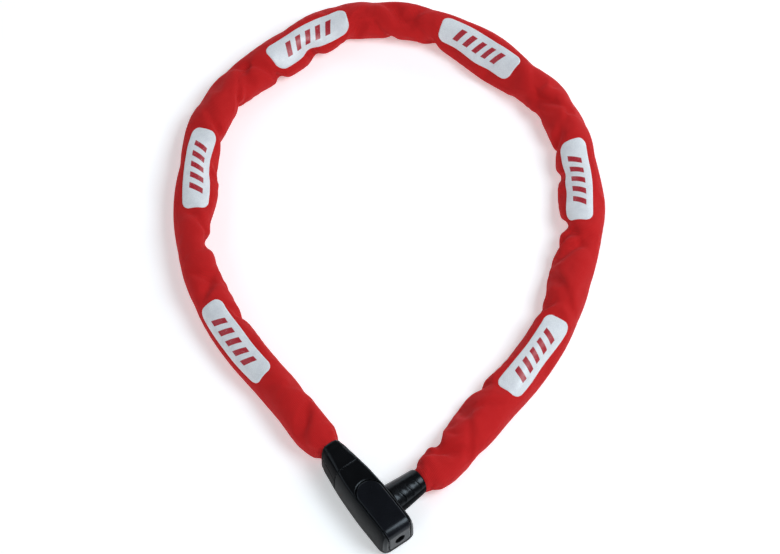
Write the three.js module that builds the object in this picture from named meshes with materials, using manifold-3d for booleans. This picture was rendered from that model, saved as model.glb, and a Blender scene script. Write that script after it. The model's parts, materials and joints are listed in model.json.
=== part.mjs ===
// Chain lock: a square-link steel chain in a fabric sleeve, fixed at one end in a T-shaped lock body and
// ending in a grooved collar whose steel bolt locks into the body's side.
//
// Millimetres, +Z up, lying flat on z = 0. The origin is on the body's flat underside, below the point where
// the bolt's axis (X, the collar points to +X) crosses the lock cylinder's axis (Y, the keyhole faces -Y and
// the chain leaves the nose towards +Y).
import * as THREE from "three";
import { mergeVertices } from "three/addons/utils/BufferGeometryUtils.js";
import Module from "manifold-3d";

const wasm = await Module();
wasm.setup();

// ---- Driving dimensions ----
const AXIS_Z = 13.3; // height of the chain, the bolt and the cylinder above the surface
const BODY_HEIGHT = 2 * AXIS_Z;
const END_Y = -24.6; // the body's keyhole face
const NOSE_Y = 51; // the body's chain end
const SEAM_Y = 30.5; // where the nose cap meets the main shell
const WALL = 1.8; // plastic shell thickness
const GAP = 0.3; // between pieces that touch

const LINK_COUNT = 30;
const STOCK = 5.6; // square link stock
const LINK_SLOT = 8.4; // clear width inside a link
const LINK_SLACK = 3.3; // how much longer a link's inside is than the chain's pitch

const SLEEVE_R = AXIS_Z; // outer radius of the fabric tube
const SLEEVE_WALL = 1.2;
const FLEX_GAP = 2.5; // clear of each flexing point, on both sides
const FLEX_LINKS = [1, 6, 11, 16, 21, 26]; // the chain's sections bend after these links

const BOLT_R = 4.8;
const BOLT_CLEAR = 0.35;
const GROOVE_R = 3.3; // root of the bolt's locking groove
const GROOVE_HALF = 2.2;
const COLLAR = { root: 12.5, tip: 34.6, rootR: 10.6, tipR: 9.0, boreR: 5.2, mouthR: 7.6 };

const PLUG_R = 4.2;
const PLUG_FACE_Y = -20.1;
const PLUG_END_Y = -11.2;
const HOUSING_R = 6.8;
const WAFERS = { count: 5, first: -18.9, pitch: 1.6, thick: 0.8 };
const KEYWAY = { wide: 2.0, tall: 6.4 };
const KEYHOLE_R = 3.75;
const INLAY = { half: 9.2, archY: 6.4, lowest: 7.2, proud: 0.4 };

const LATCH_TRAVEL = 3.4; // how far the locking plate rises into the bolt's groove
const CRANK_R = LATCH_TRAVEL / Math.SQRT2; // a quarter turn between -45 and +45 degrees gives that travel
const LATCH_THICK = 3.0;

const EYE_X = 46; // middle of the steel at the far end of the bolt's eye

// The chain's route seen from above: from the first link's buried end round the loop to the collar's mouth.
const ROUTE = [
  [0, 31.2], [0, 54], [0, 76], [-0.5, 106], [-2, 144], [1.5, 184], [13, 222], [34.5, 257], [61.5, 287],
  [95.5, 308.5], [135.5, 318], [177.5, 318], [215, 304.5], [243.5, 278], [263, 242.5], [272, 202.5],
  [271, 162.5], [257.5, 124.5], [235, 91], [205.5, 62.5], [171, 40.5], [133.5, 25.5], [97, 14], [70, 5],
  [56, 0.8], [EYE_X, 0], [34.9, 0],
];

// ---- Materials ----
function paint(color, roughness, metalness = 0) {
  return new THREE.MeshStandardMaterial({ color, roughness, metalness });
}
const shellPlastic = paint(0x17181a, 0.42);
const inlayPlastic = paint(0x15161b, 0.5);
const collarPlastic = paint(0x141519, 0.38);
const redFabric = paint(0xb8282b, 0.9);
const hardSteel = paint(0x8d9094, 0.38, 1);
const castZinc = paint(0x9a9ca0, 0.5, 1);
const brass = paint(0xb89a56, 0.35, 1);
const springSteel = paint(0xa8abb0, 0.3, 1);

// ---- Helpers: three.js geometry to a solid and back ----
function solid(geometry) {
  const bare = geometry.clone();
  bare.deleteAttribute("normal");
  bare.deleteAttribute("uv");
  const merged = mergeVertices(bare, 1e-4);
  return new wasm.Manifold(
    new wasm.Mesh({
      numProp: 3,
      vertProperties: new Float32Array(merged.attributes.position.array),
      triVerts: new Uint32Array(merged.index.array),
    }),
  );
}

function geometryOf(body) {
  const mesh = body.getMesh();
  const geometry = new THREE.BufferGeometry();
  geometry.setAttribute("position", new THREE.BufferAttribute(mesh.vertProperties, 3));
  geometry.setIndex(new THREE.BufferAttribute(mesh.triVerts, 1));
  geometry.computeVertexNormals();
  return geometry;
}

const lock = new THREE.Group();
function add(name, shape, material) {
  const mesh = new THREE.Mesh(shape.isBufferGeometry ? shape : geometryOf(shape), material);
  mesh.name = name;
  lock.add(mesh);
  return mesh;
}

// A box between two corners.
function block([x0, y0, z0], [x1, y1, z1]) {
  const geometry = new THREE.BoxGeometry(x1 - x0, y1 - y0, z1 - z0);
  return solid(geometry.translate((x0 + x1) / 2, (y0 + y1) / 2, (z0 + z1) / 2));
}

// A round bar along "x", "y" or "z", from one place on that axis to another, at the other two coordinates.
function bar(axis, radius, from, to, [a, b], sides = 24) {
  const geometry = new THREE.CylinderGeometry(radius, radius, to - from, sides);
  geometry.translate(0, (from + to) / 2, 0); // CylinderGeometry stands along Y
  if (axis === "x") geometry.rotateZ(-Math.PI / 2).translate(0, a, b);
  if (axis === "y") geometry.translate(a, 0, b);
  if (axis === "z") geometry.rotateX(Math.PI / 2).translate(a, b, 0);
  return solid(geometry);
}

// A profile of [distance along X, radius] pairs turned about the bolt's axis; it starts and ends on the axis
// or closes on itself.
function turned(profile, sides = 28) {
  const points = profile.map(([x, r]) => new THREE.Vector2(r, x));
  const geometry = new THREE.LatheGeometry(points, sides);
  return solid(geometry.rotateZ(-Math.PI / 2).translate(0, 0, AXIS_Z));
}

// A plan shape pushed up from z0 to z1.
function raised(shape, z0, z1, curveSegments = 6) {
  const geometry = new THREE.ExtrudeGeometry(shape, { depth: z1 - z0, bevelEnabled: false, curveSegments });
  return solid(geometry.translate(0, 0, z0));
}

// ---- The body's outer form ----
// Cross-sections from the keyhole face to the nose: place along Y, half width at the top and bottom edges,
// half width at mid-height, bottom, top.
const EDGE_RADIUS = 2.2;
const BODY_SECTIONS = [
  [END_Y, 8.6, 9.4, 2.8, BODY_HEIGHT - 3.6],
  [-24, 9.5, 10.4, 1.5, BODY_HEIGHT - 1.9],
  [-22.6, 10.1, 11.1, 0.5, BODY_HEIGHT - 0.6],
  [-20.4, 10.4, 11.5, 0, BODY_HEIGHT],
  [-10, 10.7, 11.8, 0, BODY_HEIGHT],
  [2, 10.7, 11.8, 0, BODY_HEIGHT],
  [14, 10.2, 11.3, 0, BODY_HEIGHT],
  [24, 9.3, 10.4, 0, BODY_HEIGHT],
  [32, 8.4, 9.5, 0, BODY_HEIGHT],
  [40, 7.4, 8.5, 0, BODY_HEIGHT],
  [46, 6.6, 7.6, 0.2, BODY_HEIGHT - 0.3],
  [49.8, 6.0, 6.9, 0.7, BODY_HEIGHT - 0.8],
  [NOSE_Y, 5.3, 6.2, 1.6, BODY_HEIGHT - 1.6],
];

// A section's points, counter-clockwise as seen from the nose: rounded edges and sides that swell between.
function sectionRing([y, edge, wide, bottom, top], grow) {
  const middle = (END_Y + NOSE_Y) / 2;
  const along = middle + (y - middle) * (1 + (2 * grow) / (NOSE_Y - END_Y));
  const radius = Math.max(EDGE_RADIUS + grow, 0.8);
  const high = top + grow - radius;
  const low = bottom - grow + radius;
  const steps = 3;
  const points = [];
  for (const [side, z, quarter] of [[1, high, 0], [-1, high, 1], [-1, low, 2], [1, low, 3]]) {
    const swells = quarter % 2 ? [-0.5, 0, 0.5] : []; // a side follows the second and the fourth corner
    for (let i = 0; i <= steps; i++) {
      const angle = (quarter + i / steps) * (Math.PI / 2);
      const x = side * (edge + grow - radius) + radius * Math.cos(angle);
      points.push([x, along, z + radius * Math.sin(angle)]);
    }
    for (const u of swells) {
      const height = (high + low) / 2 + (side * u * (high - low)) / 2;
      points.push([side * (edge + grow + (wide - edge) * (1 - u * u)), along, height]);
    }
  }
  return points;
}

// A body through matching rings, closed with flat ends. The rings run counter-clockwise as seen from the
// last one.
function loft(rings) {
  const size = rings[0].length;
  const index = [];
  for (let k = 1; k < size - 1; k++) {
    const last = (rings.length - 1) * size;
    index.push(0, k, k + 1, last, last + k + 1, last + k);
  }
  for (let i = 0; i + 1 < rings.length; i++) {
    for (let k = 0; k < size; k++) {
      const a = i * size + k;
      const b = i * size + ((k + 1) % size);
      index.push(a, a + size, b, b, a + size, b + size);
    }
  }
  const geometry = new THREE.BufferGeometry();
  geometry.setAttribute("position", new THREE.Float32BufferAttribute(rings.flat(2), 3));
  geometry.setIndex(index);
  return solid(geometry);
}

function bodyForm(grow) {
  return loft(BODY_SECTIONS.map((section) => sectionRing(section, grow)));
}

// The arched inlay's region, seen from above: it runs over the keyhole face and ends in a round arch.
function inlayRegion(grow) {
  const arch = new THREE.Shape();
  const half = INLAY.half + grow;
  arch.moveTo(half, END_Y - 5);
  arch.lineTo(half, INLAY.archY);
  arch.absarc(0, INLAY.archY, half, 0, Math.PI);
  arch.lineTo(-half, END_Y - 5);
  return raised(arch, INLAY.lowest - grow, BODY_HEIGHT + 5, 8);
}

// A slot's outline along X: straight sides and round ends about two centres.
function slotPath(path, from, to, radius) {
  path.absarc(to, 0, radius, -Math.PI / 2, Math.PI / 2);
  path.absarc(from, 0, radius, Math.PI / 2, 1.5 * Math.PI);
  return path;
}

// ---- Body shells ----
function mainShell(form, cavity) {
  const recess = inlayRegion(GAP).subtract(bodyForm(-0.9));
  return form
    .intersect(block([-20, END_Y - 2, -2], [20, SEAM_Y, 40]))
    .subtract(cavity.intersect(block([-20, END_Y + 3, -2], [20, SEAM_Y + 1, 40])))
    .subtract(recess)
    .subtract(bar("y", KEYHOLE_R + 0.7, END_Y - 2, END_Y + 4, [0, AXIS_Z]))
    .subtract(bar("x", 7.4, 6, 16, [0, AXIS_Z]))
    .subtract(bar("z", 1.8, -1, 4, [0, 21], 20));
}

function noseCap(form, cavity) {
  return form
    .intersect(block([-20, SEAM_Y + GAP, -2], [20, NOSE_Y + 2, 40]))
    .subtract(cavity.intersect(block([-20, SEAM_Y, -2], [20, NOSE_Y - 6, 40])))
    .subtract(block([-3.6, NOSE_Y - 8, AXIS_Z - 10.2], [3.6, NOSE_Y + 2, AXIS_Z + 10.2]));
}

function faceInlay() {
  return inlayRegion(0)
    .intersect(bodyForm(INLAY.proud))
    .subtract(bodyForm(-0.6))
    .subtract(bar("y", KEYHOLE_R, END_Y - 2, END_Y + 2, [0, AXIS_Z]));
}

function addShells() {
  const form = bodyForm(0);
  const cavity = bodyForm(-WALL);
  add("main_shell", mainShell(form, cavity), shellPlastic);
  add("nose_cap", noseCap(form, cavity), shellPlastic);
  add("face_inlay", faceInlay(), inlayPlastic);
}

// ---- Cast core and the pieces fixed in it ----
const ANCHOR_PIN = { y: 37.2, radius: 2.8, half: 6.1 };
const BORE_R = BOLT_R + BOLT_CLEAR;

function castCore() {
  const front = -20.6;
  const back = 43;
  const slot = LATCH_THICK / 2 + 0.4;
  return bodyForm(-WALL - 0.5)
    .intersect(block([-20, front, -2], [20, back, 40]))
    .subtract(bar("y", HOUSING_R + GAP, front - 1, -8.7, [0, AXIS_Z]))
    .subtract(bar("x", BORE_R, -7.2, 16, [0, AXIS_Z]))
    .subtract(block([-slot, -7.4, 4.2], [slot, 11.5, 40]))
    .subtract(block([-slot, -9.2, AXIS_Z - 5], [5.2, -6.6, AXIS_Z + 5]))
    .subtract(block([-3.3, 27.8, -2], [3.3, back + 1, 40]))
    .subtract(bar("x", ANCHOR_PIN.radius + GAP, -12, 12, [ANCHOR_PIN.y, AXIS_Z]))
    .subtract(bar("z", 1.8, 0, 20, [0, 21], 20))
    .subtract(bar("z", 1.3, 0, AXIS_Z - 5, [0, -16], 16));
}

function addFixedPieces() {
  add("cast_core", castCore(), castZinc);
  add(
    "anchor_pin",
    bar("x", ANCHOR_PIN.radius, -ANCHOR_PIN.half, ANCHOR_PIN.half, [ANCHOR_PIN.y, AXIS_Z]),
    hardSteel,
  );
  add("shell_pin", bar("z", 1.5, 0.6, 19, [0, 21], 20), springSteel);
  add("cylinder_pin", bar("z", 1.0, 3, AXIS_Z - 5.9, [0, -16], 16), springSteel);
  const bush = bar("x", 7.1, 9.9, 11.8, [0, AXIS_Z]).subtract(bar("x", BORE_R, 9, 14, [0, AXIS_Z]));
  add("bolt_bush", bush, hardSteel);
}

// ---- Lock cylinder ----
function cylinderHousing() {
  const grooves = block([-2.6, -30, AXIS_Z - 5.6], [2.6, PLUG_END_Y - 0.6, AXIS_Z + 5.6]);
  return bar("y", HOUSING_R, -20.6, PLUG_END_Y, [0, AXIS_Z])
    .subtract(bar("y", PLUG_R + GAP, -22, 0, [0, AXIS_Z]))
    .subtract(grooves)
    .subtract(bar("z", 1.3, 0, AXIS_Z - 5.7, [0, -16], 16));
}

function waferY(i) {
  return WAFERS.first + i * WAFERS.pitch;
}

function cylinderPlug() {
  const half = KEYWAY.wide / 2;
  const tall = KEYWAY.tall / 2;
  let plug = bar("y", PLUG_R, PLUG_FACE_Y, PLUG_END_Y, [0, AXIS_Z])
    .add(bar("y", 3.0, PLUG_END_Y - 0.5, -10.2, [0, AXIS_Z], 24))
    .subtract(block([-half, -22, AXIS_Z - tall], [half, PLUG_END_Y - 0.6, AXIS_Z + tall]));
  for (let i = 0; i < WAFERS.count; i++) {
    const y = waferY(i);
    const room = WAFERS.thick / 2 + 0.15;
    plug = plug.subtract(block([-2.6, y - room, 0], [2.6, y + room, BODY_HEIGHT]));
  }
  return plug;
}

function wafer(i) {
  const y = waferY(i);
  const t = WAFERS.thick / 2;
  const cut = [-0.5, 0.2, -0.2, 0.5, 0][i]; // each wafer's window sits at its own height
  return block([-2.3, y - t, AXIS_Z - 3.6], [2.3, y + t, AXIS_Z + 3.6]).subtract(
    block([-1.3, y - 1, AXIS_Z - 2.3 + cut], [1.3, y + 1, AXIS_Z + 2.3 + cut]),
  );
}

// The clip that keeps the plug in its housing, open on one side.
function circlip() {
  return bar("y", 5.4, -10.95, -10.45, [0, AXIS_Z])
    .subtract(bar("y", 3.3, -12, -9, [0, AXIS_Z], 24))
    .subtract(block([-1.2, -12, AXIS_Z], [1.2, -9, AXIS_Z + 8]));
}

// The crank on the plug's end, whose pin lifts the locking plate.
function plugCam() {
  const at = CRANK_R / Math.SQRT2;
  return bar("y", 4.0, -9.9, -9.0, [0, AXIS_Z]).add(bar("y", 1.0, -9.4, -7.3, [at, AXIS_Z - at], 16));
}

function addCylinder() {
  add("cylinder_housing", cylinderHousing(), brass);
  add("cylinder_plug", cylinderPlug(), brass);
  for (let i = 0; i < WAFERS.count; i++) add(`wafer_${i + 1}`, wafer(i), brass);
  add("plug_circlip", circlip(), springSteel);
  add("plug_cam", plugCam(), hardSteel);
}

// ---- Locking plate and its spring ----
// At rest the bolt passes through the plate's wide hole; raised, its narrow hole sits in the bolt's groove.
function lockingPlate() {
  const wide = BOLT_R + 0.4;
  const narrow = GROOVE_R + 0.5;
  const rim = 1.6;
  const half = LATCH_THICK / 2;
  const crankZ = AXIS_Z - CRANK_R / Math.SQRT2;
  const lowest = AXIS_Z - LATCH_TRAVEL - narrow - rim;
  return block([-half, -7, lowest], [half, 7, AXIS_Z + wide + rim])
    .add(block([-half, 6, AXIS_Z - 1.5], [half, 11, AXIS_Z + 1.5]))
    .add(block([-half, -8.6, crankZ - 2.6], [half, -6.5, crankZ + 2.6]))
    .add(block([-half, -8.6, crankZ - 2.6], [4.6, -7, crankZ + 2.6]))
    .subtract(block([0.3, -10, crankZ - 1.3], [3.8, -6.6, crankZ + 1.3]))
    .subtract(bar("x", wide, -3, 3, [0, AXIS_Z]))
    .subtract(bar("x", narrow, -3, 3, [0, AXIS_Z - LATCH_TRAVEL]));
}

class Helix extends THREE.Curve {
  constructor(radius, turns, bottom, height) {
    super();
    Object.assign(this, { radius, turns, bottom, height });
  }
  getPoint(t, target = new THREE.Vector3()) {
    const angle = 2 * Math.PI * this.turns * t;
    return target.set(
      this.radius * Math.cos(angle),
      this.radius * Math.sin(angle),
      this.bottom + this.height * t,
    );
  }
}

function latchSpring() {
  const wire = 0.25;
  const turns = 3.5;
  const bottom = 4.9;
  const top = AXIS_Z - 2.2;
  const section = new THREE.Shape();
  section.absarc(0, 0, wire, 0, 2 * Math.PI);
  const geometry = new THREE.ExtrudeGeometry(section, {
    steps: 42,
    curveSegments: 3,
    extrudePath: new Helix(1.35, turns, bottom, top - bottom),
  });
  return geometry.translate(0, 9.2, 0);
}

function addLatch() {
  add("locking_plate", lockingPlate(), hardSteel);
  add("latch_spring", latchSpring(), springSteel);
}

// ---- Bolt and collar ----
function lockingBolt() {
  const shank = turned([
    [-6.6, 0], [-6.6, 3.4], [-5.2, BOLT_R], [-GROOVE_HALF, BOLT_R], [-GROOVE_HALF, GROOVE_R],
    [GROOVE_HALF, GROOVE_R], [GROOVE_HALF, BOLT_R], [28.4, BOLT_R], [28.4, 0],
  ]);
  const slot = LINK_SLOT / 2;
  const far = EYE_X - STOCK / 2 - slot; // centre of the eye's far round end
  const near = EYE_X - 1.5 * STOCK - LINK_SLACK - 1.4 + slot;
  const neckEnd = COLLAR.tip + 1.2;
  const tab = new THREE.Shape();
  tab.moveTo(26, -4);
  tab.lineTo(28.4, -4);
  tab.lineTo(32, -6.6);
  tab.lineTo(neckEnd, -6.8);
  tab.absellipse(far, 0, slot + STOCK, 8.4, -Math.PI / 2, Math.PI / 2);
  tab.lineTo(neckEnd, 6.8);
  tab.lineTo(32, 6.6);
  tab.lineTo(28.4, 4);
  tab.lineTo(26, 4);
  tab.holes.push(slotPath(new THREE.Path(), near, far, slot));
  const geometry = new THREE.ExtrudeGeometry(tab, { depth: STOCK, bevelEnabled: false, curveSegments: 6 });
  // The tab's own y becomes Z, and its depth lies along Y.
  geometry.rotateX(Math.PI / 2).translate(0, STOCK / 2, AXIS_Z);
  return shank.add(solid(geometry)).subtract(bar("z", 1.5, 0, AXIS_Z + 2.5, [21, 0], 20));
}

// The collar's outside: tapered, with shallow finger grooves near the middle.
function collarProfile() {
  const { root, tip, rootR, tipR, boreR, mouthR } = COLLAR;
  const radiusAt = (x) => rootR + ((tipR - rootR) * (x - root)) / (tip - root);
  const profile = [[root, boreR], [root, rootR - 0.6], [root + 0.6, rootR]];
  for (const x of [17, 21.5, 26]) {
    profile.push([x - 1, radiusAt(x - 1)], [x - 0.4, radiusAt(x) - 0.55], [x + 0.6, radiusAt(x + 0.6)]);
  }
  profile.push([tip - 0.8, tipR], [tip, tipR - 0.8], [tip, mouthR]);
  profile.push([27.6, mouthR], [27.6, boreR], [root, boreR]);
  return profile;
}

function addBoltEnd() {
  add("locking_bolt", lockingBolt(), hardSteel);
  const pinHole = bar("z", 1.5, -5, AXIS_Z - 2, [21, 0], 20);
  add("collar", turned(collarProfile()).subtract(pinHole), collarPlastic);
  add("collar_pin", bar("z", 1.2, AXIS_Z - 9.2, AXIS_Z + 2.2, [21, 0], 20), springSteel);
}

// ---- Chain ----
const route = new THREE.CatmullRomCurve3(
  ROUTE.map(([x, y]) => new THREE.Vector3(x, y, AXIS_Z)),
  false,
  "centripetal",
);
route.arcLengthDivisions = 2000;
const routeLength = route.getLength();
const chainLength = routeLength - (EYE_X - ROUTE.at(-1)[0]);
const pitch = chainLength / LINK_COUNT;

// Links turn sideways about the middle of the steel at the ends of the upright links, so measured between
// those turning points an upright link is longer than a lying one.
function turningPoint(n) {
  const reach = (LINK_SLACK + STOCK) / 2;
  return n * pitch + (n % 2 === 0 ? -reach : reach) + reach;
}

function routePoint(along) {
  return route.getPointAt(along / routeLength);
}

function addChain() {
  const inner = LINK_SLOT / 2;
  const middle = (pitch + LINK_SLACK) / 2 - inner;
  const outline = slotPath(new THREE.Shape(), -middle, middle, inner + STOCK);
  outline.holes.push(slotPath(new THREE.Path(), -middle, middle, inner));
  const geometry = new THREE.ExtrudeGeometry(outline, { depth: STOCK, bevelEnabled: false, curveSegments: 4 });
  geometry.translate(0, 0, -STOCK / 2);
  for (let i = 0; i < LINK_COUNT; i++) {
    const from = routePoint(turningPoint(i));
    const to = routePoint(turningPoint(i + 1));
    const link = add(`link_${String(i + 1).padStart(2, "0")}`, geometry, hardSteel);
    link.position.addVectors(from, to).multiplyScalar(0.5);
    const upright = i % 2 === 0; // links stand and lie in turn
    link.rotation.set(upright ? Math.PI / 2 : 0, 0, Math.atan2(to.y - from.y, to.x - from.x), "ZYX");
  }
}

// ---- Fabric sleeve: one plain tube for each section of the chain ----
function sleeveTube(from, to) {
  const steps = Math.max(1, Math.round((to - from) / 13));
  const ring = new THREE.Shape();
  ring.absarc(0, 0, SLEEVE_R, 0, 2 * Math.PI);
  const inside = new THREE.Path();
  inside.absarc(0, 0, SLEEVE_R - SLEEVE_WALL, 0, 2 * Math.PI);
  ring.holes.push(inside);
  const points = Array.from({ length: steps + 1 }, (_, i) => routePoint(from + ((to - from) * i) / steps));
  const extrudePath = new THREE.CatmullRomCurve3(points, false, "centripetal");
  return new THREE.ExtrudeGeometry(ring, { steps, curveSegments: 6, extrudePath });
}

function addSleeve() {
  const flexPoints = FLEX_LINKS.map(turningPoint);
  const starts = [NOSE_Y + GAP - ROUTE[0][1], ...flexPoints.map((s) => s + FLEX_GAP)];
  const ends = [...flexPoints.map((s) => s - FLEX_GAP), routeLength];
  starts.forEach((from, i) => add(`sleeve_${i}`, sleeveTube(from, ends[i]), redFabric));
}

addShells();
addFixedPieces();
addCylinder();
addLatch();
addBoltEnd();
addChain();
addSleeve();

export default lock;
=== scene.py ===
"""Chain lock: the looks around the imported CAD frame. Metres, +Z up, the lock lies flat on z = 0."""
import json
from math import cos, pi, radians, sin

import bmesh
import bpy
import numpy as np
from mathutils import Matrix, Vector
from mathutils.bvhtree import BVHTree


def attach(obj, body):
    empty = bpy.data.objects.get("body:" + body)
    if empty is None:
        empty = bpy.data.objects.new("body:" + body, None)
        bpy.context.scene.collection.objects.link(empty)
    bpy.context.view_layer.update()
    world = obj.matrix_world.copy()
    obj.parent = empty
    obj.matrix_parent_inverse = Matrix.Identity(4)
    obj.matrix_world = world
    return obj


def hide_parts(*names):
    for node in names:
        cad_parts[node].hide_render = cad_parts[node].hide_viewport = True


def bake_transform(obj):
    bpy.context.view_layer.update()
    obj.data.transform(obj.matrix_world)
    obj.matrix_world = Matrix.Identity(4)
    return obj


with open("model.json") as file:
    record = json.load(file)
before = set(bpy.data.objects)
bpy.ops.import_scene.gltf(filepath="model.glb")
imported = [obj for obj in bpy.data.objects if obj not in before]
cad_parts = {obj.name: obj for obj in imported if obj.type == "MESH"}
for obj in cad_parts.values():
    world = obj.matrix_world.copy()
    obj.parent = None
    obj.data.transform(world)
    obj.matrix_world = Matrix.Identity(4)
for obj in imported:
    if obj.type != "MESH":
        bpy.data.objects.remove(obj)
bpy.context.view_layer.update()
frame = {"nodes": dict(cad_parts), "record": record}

# Shared with the CAD, in mm.
MM = 0.001
AXIS_Z = 13.3  # height of the chain, the bolt and the cylinder
BODY_HEIGHT = 2 * AXIS_Z
END_Y = -24.6  # the body's keyhole face
NOSE_Y = 51.0  # the body's chain end
SEAM_Y = 30.5  # where the nose cap meets the main shell
SEAM_GAP = 0.3

# The chain's route seen from above, in mm, as in the CAD.
ROUTE = [
    (0, 31.2), (0, 54), (0, 76), (-0.5, 106), (-2, 144), (1.5, 184), (13, 222), (34.5, 257),
    (61.5, 287), (95.5, 308.5), (135.5, 318), (177.5, 318), (215, 304.5), (243.5, 278),
    (263, 242.5), (272, 202.5), (271, 162.5), (257.5, 124.5), (235, 91), (205.5, 62.5),
    (171, 40.5), (133.5, 25.5), (97, 14), (70, 5), (56, 0.8), (46, 0), (34.9, 0),
]


# ---- Camera ----
def aimed(name, data, place, target):
    obj = bpy.data.objects.new(name, data)
    obj.location = place
    obj.rotation_euler = (Vector(target) - Vector(place)).to_track_quat("-Z", "Y").to_euler()
    bpy.context.scene.collection.objects.link(obj)
    return obj


CAMERA_PLACE = (-0.4775, -0.6713, 1.7321)
CAMERA_TARGET = (0.1103, 0.1377, 0.0)
camera_data = bpy.data.cameras.new("camera")
camera_data.lens = 139.9
camera_data.sensor_width = 36
bpy.context.scene.camera = aimed("camera", camera_data, CAMERA_PLACE, CAMERA_TARGET)


# ---- Materials ----
class Nodes:
    """Builds the nodes of a material or a world around its shader."""

    def __init__(self, holder, shader):
        self.holder = holder
        holder.use_nodes = True
        self.tree = holder.node_tree
        self.shader = self.tree.nodes[shader]

    def put(self, node, values):
        for socket, value in values.items():
            if isinstance(value, bpy.types.NodeSocket):
                self.tree.links.new(value, node.inputs[socket])
            else:
                node.inputs[socket].default_value = value
        return node

    def add(self, kind, values=None, **settings):
        node = self.tree.nodes.new("ShaderNode" + kind)
        for key, value in settings.items():
            setattr(node, key, value)
        return self.put(node, values or {})

    def math(self, operation, a, b=0.0, c=0.0):
        return self.add("Math", {0: a, 1: b, 2: c}, operation=operation).outputs[0]

    def coordinates(self, kind="Object"):
        return self.add("TexCoord").outputs[kind]

    def noise(self, vector, scale, detail=3.0, rough=0.5):
        values = {"Vector": vector, "Scale": scale, "Detail": detail, "Roughness": rough}
        return self.add("TexNoise", values).outputs[0]

    def spread(self, value, low, high, start=0.3, end=0.7, **settings):
        """A value's start..end stretched to low..high."""
        values = {"Value": value, "From Min": start, "From Max": end, "To Min": low, "To Max": high}
        return self.add("MapRange", values, **settings).outputs[0]

    def mix(self, factor, a, b):
        a, b = (c if isinstance(c, bpy.types.NodeSocket) else (*c, 1) for c in (a, b))
        # a colour mix's own sockets are inputs 6 and 7 and output 2
        node = self.add("Mix", {0: factor, 6: a, 7: b}, data_type="RGBA")
        return node.outputs[2]

    def bump(self, height, distance, strength=1.0):
        values = {"Height": height, "Distance": distance, "Strength": strength}
        return self.add("Bump", values).outputs[0]

    def finish(self, **links):
        for socket, value in links.items():
            self.put(self.shader, {socket.replace("_", " "): value})
        return self.holder


def surface(name, base, roughness, metallic=0.0, specular=0.5):
    n = Nodes(bpy.data.materials.new(name), "Principled BSDF")
    n.put(n.shader, {
        "Base Color": (*base, 1), "Roughness": roughness, "Metallic": metallic,
        "Specular IOR Level": specular,
    })
    return n


def scaled(colour, k):
    return tuple(c * k for c in colour)


def plastic(name, base, rough, specular, grain, grain_height):
    """Fine grain, cloudy gloss, and edges rubbed a little paler."""
    n = surface(name, base, rough, specular=specular)
    n.put(n.shader, {"Specular Tint": (0.84, 0.93, 1.0, 1)})
    place = n.coordinates()
    cloud = n.noise(place, 60, 4)
    fine = n.noise(place, grain, 2, 0.6)
    edge = n.spread(n.add("NewGeometry").outputs["Pointiness"], 0, 1, 0.53, 0.62)
    worn = n.math("MULTIPLY", edge, n.spread(n.noise(place, 420, 3), 0, 0.5, 0.45, 0.7))
    colour = n.mix(n.spread(cloud, 0, 1), scaled(base, 0.8), scaled(base, 1.25))
    colour = n.mix(worn, colour, scaled(base, 3.0))
    gloss = n.spread(cloud, rough - 0.03, rough + 0.05)
    return n.finish(
        Base_Color=colour,
        Roughness=n.math("ADD", gloss, n.spread(fine, -0.02, 0.03)),
        Normal=n.bump(fine, grain_height),
    )


def metal(name, base, rough, brushing, patina, patina_share):
    """Brushed along one way or cast, with a thin uneven patina."""
    n = surface(name, base, rough, metallic=1.0)
    place = n.coordinates()
    stretch = n.add("Mapping", {"Vector": place, "Scale": brushing}).outputs[0]
    brushed = n.noise(stretch, 1.0, 4, 0.65)
    cloud = n.noise(place, 90, 4)
    colour = n.mix(n.spread(brushed, 0, 1), scaled(base, 0.82), scaled(base, 1.12))
    colour = n.mix(n.spread(cloud, 0, patina_share, 0.5, 0.75), colour, patina)
    gloss = n.spread(brushed, rough - 0.08, rough + 0.1)
    return n.finish(
        Base_Color=colour,
        Roughness=n.math("ADD", gloss, n.spread(cloud, 0, 0.08)),
        Normal=n.bump(brushed, 0.00004),
    )


RIB = 0.9  # spacing of the fabric's ribs across the tube, in mm
WARP = 0.62  # spacing of its yarns along the tube
RED = (0.60, 0.0165, 0.0168)


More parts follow.
